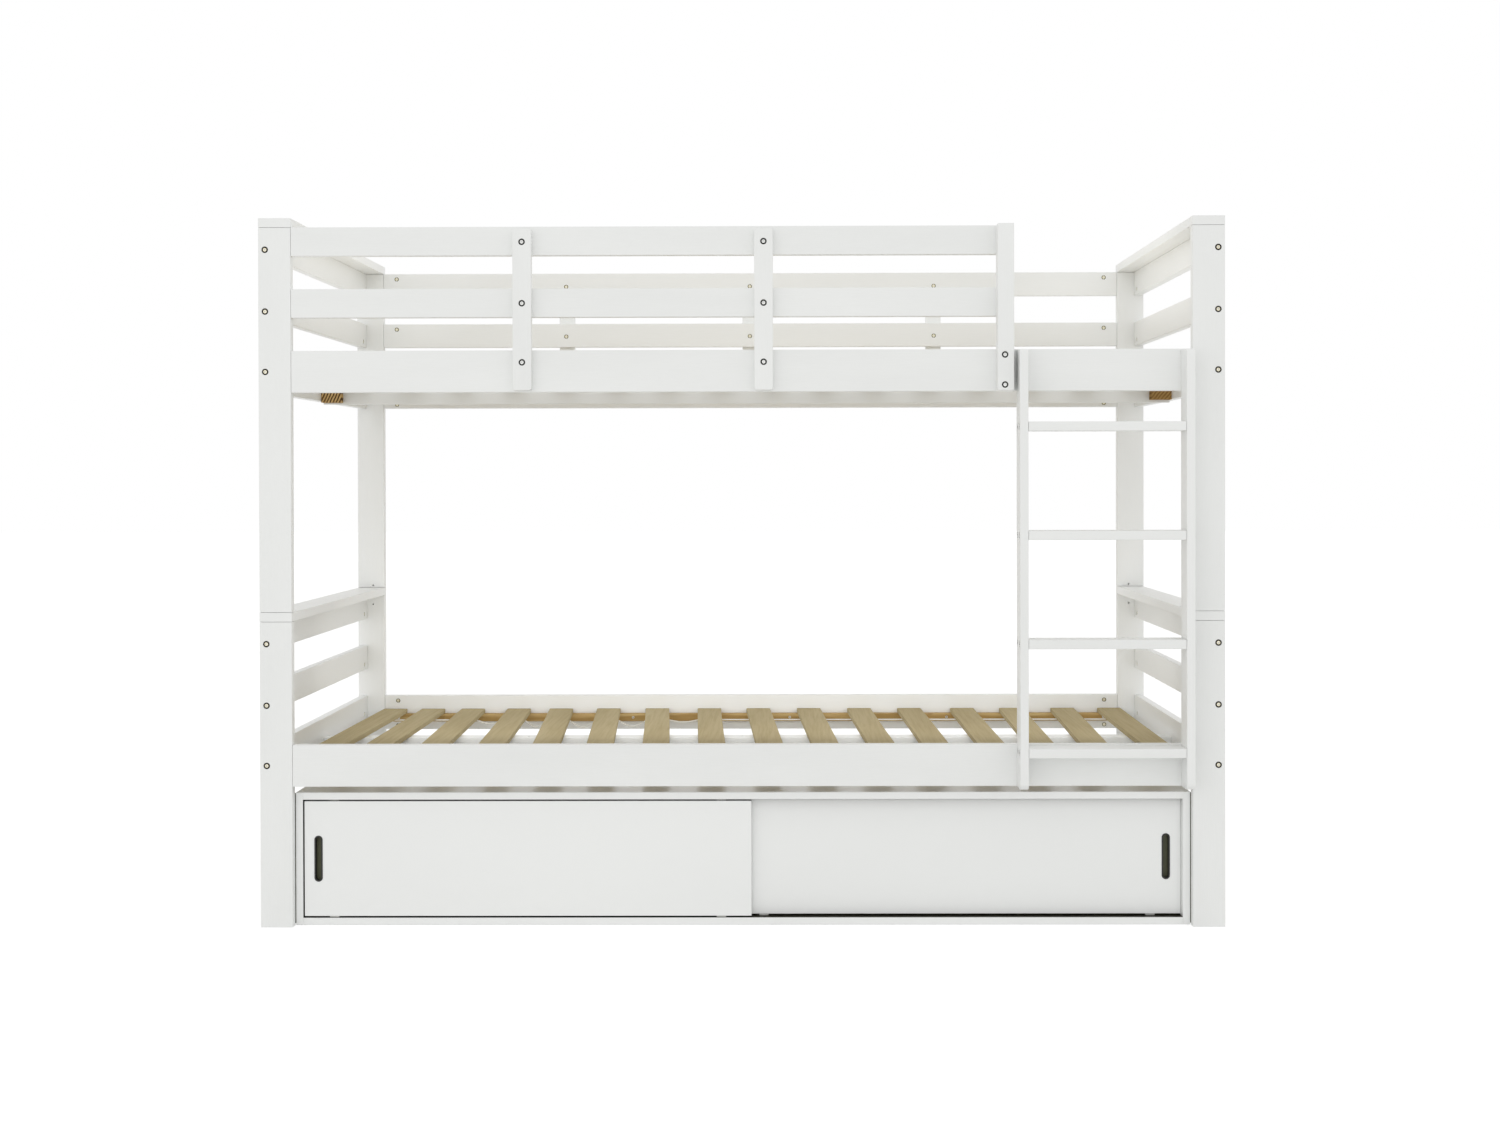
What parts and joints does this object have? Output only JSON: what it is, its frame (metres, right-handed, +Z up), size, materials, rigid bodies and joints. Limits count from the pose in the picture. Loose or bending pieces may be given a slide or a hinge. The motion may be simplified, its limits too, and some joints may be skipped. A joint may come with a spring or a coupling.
{
  "type": "bunk bed",
  "caption": "White wooden bunk bed with slatted bunks, guard rails, a fixed ladder on the right and a floor-standing storage box closed by sliding doors.",
  "frame": {"origin": "on the floor, midway along the bed and midway in depth between the ladder's front and the back battens' outer face", "axes": "+X along the bed to the ladder end, +Y from the ladder side to the back, +Z up"},
  "size_m": [2.08, 1.0522, 1.53],
  "materials": {
    "white_paint": "satin white paint on planed pine",
    "slat_wood": "bare planed hardwood",
    "white_board": "smooth white faced board",
    "pull_plastic": "fine matt black moulding"
  },
  "bodies": {
    "bed": {"lower_left_front_post": "white_paint", "lower_left_back_post": "white_paint", "lower_left_cap": "white_paint", "lower_left_top_rail": "white_paint", "lower_left_middle_rail": "white_paint", "lower_left_bed_rail": "white_paint", "lower_right_front_post": "white_paint", "lower_right_back_post": "white_paint", "lower_right_cap": "white_paint", "lower_right_top_rail": "white_paint", "lower_right_middle_rail": "white_paint", "lower_right_bed_rail": "white_paint", "lower_front_side_rail": "white_paint", "lower_back_side_rail": "white_paint", "lower_centre_beam": "white_paint", "lower_slat_deck": "slat_wood", "upper_left_front_post": "white_paint", "upper_left_back_post": "white_paint", "upper_left_cap": "white_paint", "upper_left_top_rail": "white_paint", "upper_left_middle_rail": "white_paint", "upper_left_bed_rail": "white_paint", "upper_right_front_post": "white_paint", "upper_right_back_post": "white_paint", "upper_right_cap": "white_paint", "upper_right_top_rail": "white_paint", "upper_right_middle_rail": "white_paint", "upper_right_bed_rail": "white_paint", "upper_front_side_rail": "white_paint", "upper_back_side_rail": "white_paint", "upper_centre_beam": "white_paint", "upper_slat_deck": "slat_wood", "front_guard_top_rail": "white_paint", "front_guard_middle_rail": "white_paint", "front_guard_batten_1": "white_paint", "front_guard_batten_2": "white_paint", "front_guard_stile": "white_paint", "back_guard_top_rail": "white_paint", "back_guard_middle_rail": "white_paint", "back_guard_batten_1": "white_paint", "back_guard_batten_2": "white_paint", "back_guard_batten_3": "white_paint", "ladder_left_side": "white_paint", "ladder_right_side": "white_paint", "ladder_rung_1": "white_paint", "ladder_rung_2": "white_paint", "ladder_rung_3": "white_paint", "ladder_rung_4": "white_paint", "storage_left_panel": "white_board", "storage_right_panel": "white_board", "storage_floor_panel": "white_board", "storage_left_top_panel": "white_board", "storage_right_top_panel": "white_board", "storage_back_panel": "white_board", "storage_divider": "white_board"},
    "left_door": {"left_door_panel": "white_board", "left_door_pull": "pull_plastic"},
    "right_door": {"right_door_panel": "white_board", "right_door_pull": "pull_plastic"}
  },
  "joints": [
    {"name": "left_door_slide", "type": "slide", "parent": "bed", "child": "left_door", "axis": [1, 0, 0], "range_m": [0, 0.93]},
    {"name": "right_door_slide", "type": "slide", "parent": "bed", "child": "right_door", "axis": [-1, 0, 0], "range_m": [0, 0.93]}
  ]
}
